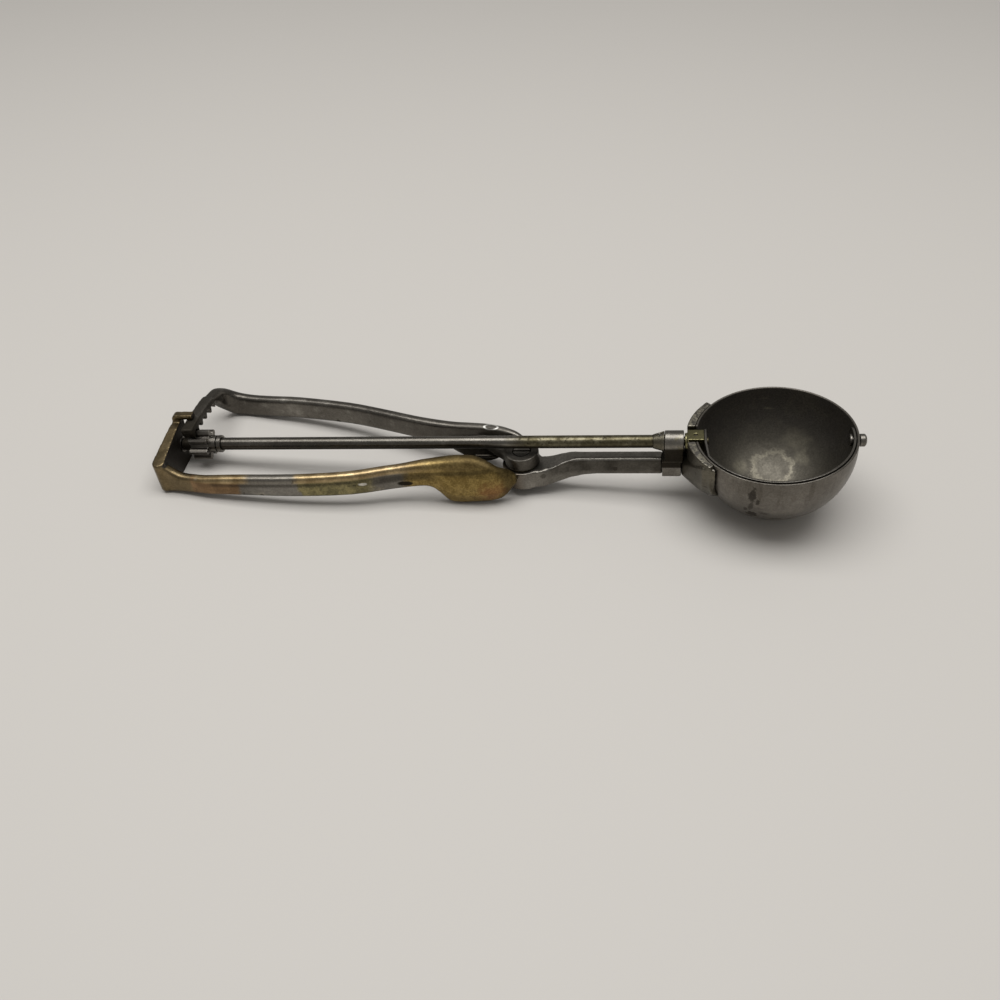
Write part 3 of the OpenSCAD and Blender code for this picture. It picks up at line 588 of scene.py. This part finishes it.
# The near side of the leaf's upper part along X, its width there, and how far its top edge
# leans towards the lever and rises, in mm. The edge is crowned over its middle.
LEAF_X = (-140, -130, -125, -120, -115, -110, -105, -100)
LEAF_NEAR_Y = (-16.2, -14.8, -14.8, -15.4, -15.6, -15.5, -15.0, -13.5)
LEAF_WIDTH, LEAF_LEAN, LEAF_RISE = 4.6, 3.2, 1.6


def lean_leaf(mesh):
    """The leaf's top edge is broad and leans in over the spring, as in the photo."""
    x, y, z = places(mesh).T
    side = numpy.clip((y - numpy.interp(x, LEAF_X, LEAF_NEAR_Y)) / LEAF_WIDTH, 0, 1)
    share = smooth(x, -140, -114) * (1 - smooth(x, -110, -98.5)) * smooth(z, -6, -2.5)
    y = y + LEAF_LEAN * share * side
    crown = 1 - 2.2 * (side - 0.55) ** 2
    z = z + LEAF_RISE * share * crown
    moved = numpy.stack((x, y, z), 1) @ numpy.array(TIP).T + (0, 0, BOWL_R)
    mesh.vertices.foreach_set("co", (moved / PER_M).ravel())
    mesh.update()


# The stretch of the shank's bar in mm, the rounding of its near upper edge in m, and the
# share of it on its other long edges
BAR_BACK, BAR_FRONT, BAR_ROUND, BAR_LESS = -90, -39, 0.0015, 0.35


def round_bar(piece):
    """The long edges of the shank's bar are rounded, the near upper one most."""
    mesh = piece.data
    spots = places(mesh)
    weight = mesh.attributes.new("bevel_weight_edge", "FLOAT", "EDGE")
    for edge in mesh.edges:
        a, b = (spots[i] for i in edge.vertices)
        back, front = min(a[0], b[0]), max(a[0], b[0])
        if front - back > 1.5 and BAR_BACK < back and front < BAR_FRONT:
            near_upper = a[1] + b[1] < 0 and (a[2] + b[2]) / 2 > -10
            weight.data[edge.index].value = 1.0 if near_upper else BAR_LESS
    ease = piece.modifiers.new("rounded edges", "BEVEL")
    ease.width, ease.segments, ease.limit_method = BAR_ROUND, 4, "WEIGHT"
    ease.use_clamp_overlap = False


cast("fixed_grip", 0.0003, 12, after=lean_leaf)
cast("lever_grip", 0.0003, 9)
cast("saddle", 0.0003, 8)
cast("neck", 0.0002, 5)
cast("shank", 0.00025, 14, before=round_bar)
turned("bowl", 0.0003)
turned("scraper_band", 0.00015)
cast("scraper_hub", 0.0002, 6)
turned("front_collar", 0.0003)
turned("rear_collar", 0.0002)
turned("pinion", 0.0003, clamp=True)
turned("front_pin", 0.00015)
turned("drive_rod", 0.0002)

# The nodes that no piece replaces are seen as they are, in their materials
for node, thing in frame["nodes"].items():
    if not thing.hide_render:
        for one in thing.material_slots:
            one.material = material_of(node)


# ---- Stage --------------------------------------------------------------------------------
# A pale table, a dim even studio and one broad soft lamp above that shines straight down.

FLOOR_HALF = 4                      # in m
floor_mesh = bpy.data.meshes.new("floor")
floor_mesh.from_pydata([(-FLOOR_HALF, -FLOOR_HALF, 0), (FLOOR_HALF, -FLOOR_HALF, 0),
                        (FLOOR_HALF, FLOOR_HALF, 0), (-FLOOR_HALF, FLOOR_HALF, 0)],
                       [], [(0, 1, 2, 3)])
floor = bpy.data.objects.new("floor", floor_mesh)
bpy.context.scene.collection.objects.link(floor)
table_top = bpy.data.materials.new("table_top")
table_top.use_nodes = True
table_shader = table_top.node_tree.nodes["Principled BSDF"].inputs
table_shader["Base Color"].default_value = srgb(205, 201, 195)
table_shader["Roughness"].default_value = 0.6
floor_mesh.materials.append(table_top)

world = bpy.data.worlds.new("studio")
world.use_nodes = True
world.node_tree.nodes["Background"].inputs["Color"].default_value = (0.5, 0.49, 0.475, 1)
world.node_tree.nodes["Background"].inputs["Strength"].default_value = 0.56
bpy.context.scene.world = world

lamp_data = bpy.data.lights.new("softbox", "AREA")
lamp_data.shape, lamp_data.size, lamp_data.size_y = "RECTANGLE", 1.3, 0.6
lamp_data.energy = 9.9
lamp = bpy.data.objects.new("softbox", lamp_data)
lamp.location = (-0.15, 0.02, 1.0)
lamp.visible_camera = False
bpy.context.scene.collection.objects.link(lamp)

bpy.context.scene.view_settings.view_transform = "Standard"
